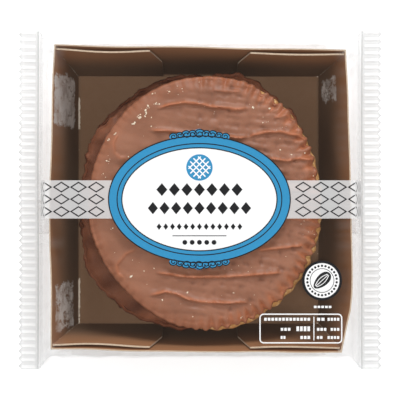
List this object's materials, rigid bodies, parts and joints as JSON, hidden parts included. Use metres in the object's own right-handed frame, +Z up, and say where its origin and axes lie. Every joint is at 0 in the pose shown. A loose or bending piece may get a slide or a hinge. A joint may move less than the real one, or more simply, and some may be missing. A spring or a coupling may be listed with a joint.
{
  "type": "pack of chocolate stroopwafels",
  "caption": "Clear flow-wrapped pack: round chocolate-covered stroopwafels stacked in an open brown card tray, with crimped saw-tooth film fins at both ends",
  "frame": {"origin": "under the middle of the pack, on the surface it rests on", "axes": "+X towards one end fin, +Y across the pack along the fins, +Z up"},
  "size_m": [0.1332, 0.124, 0.0434],
  "materials": {
    "film": "clear glossy packing film",
    "card": "brown coated card, slightly glossy, pale cut edges",
    "chocolate": "milk chocolate, soft satin sheen",
    "biscuit": "baked golden waffle biscuit, matte"
  },
  "bodies": {
    "root": {"film_wrap": "film", "tray": "card", "chocolate_1": "chocolate", "chocolate_2": "chocolate", "chocolate_3": "chocolate", "chocolate_4": "chocolate", "chocolate_5": "chocolate", "biscuit_1": "biscuit", "biscuit_2": "biscuit", "biscuit_3": "biscuit", "biscuit_4": "biscuit", "biscuit_5": "biscuit"}
  },
  "joints": []
}
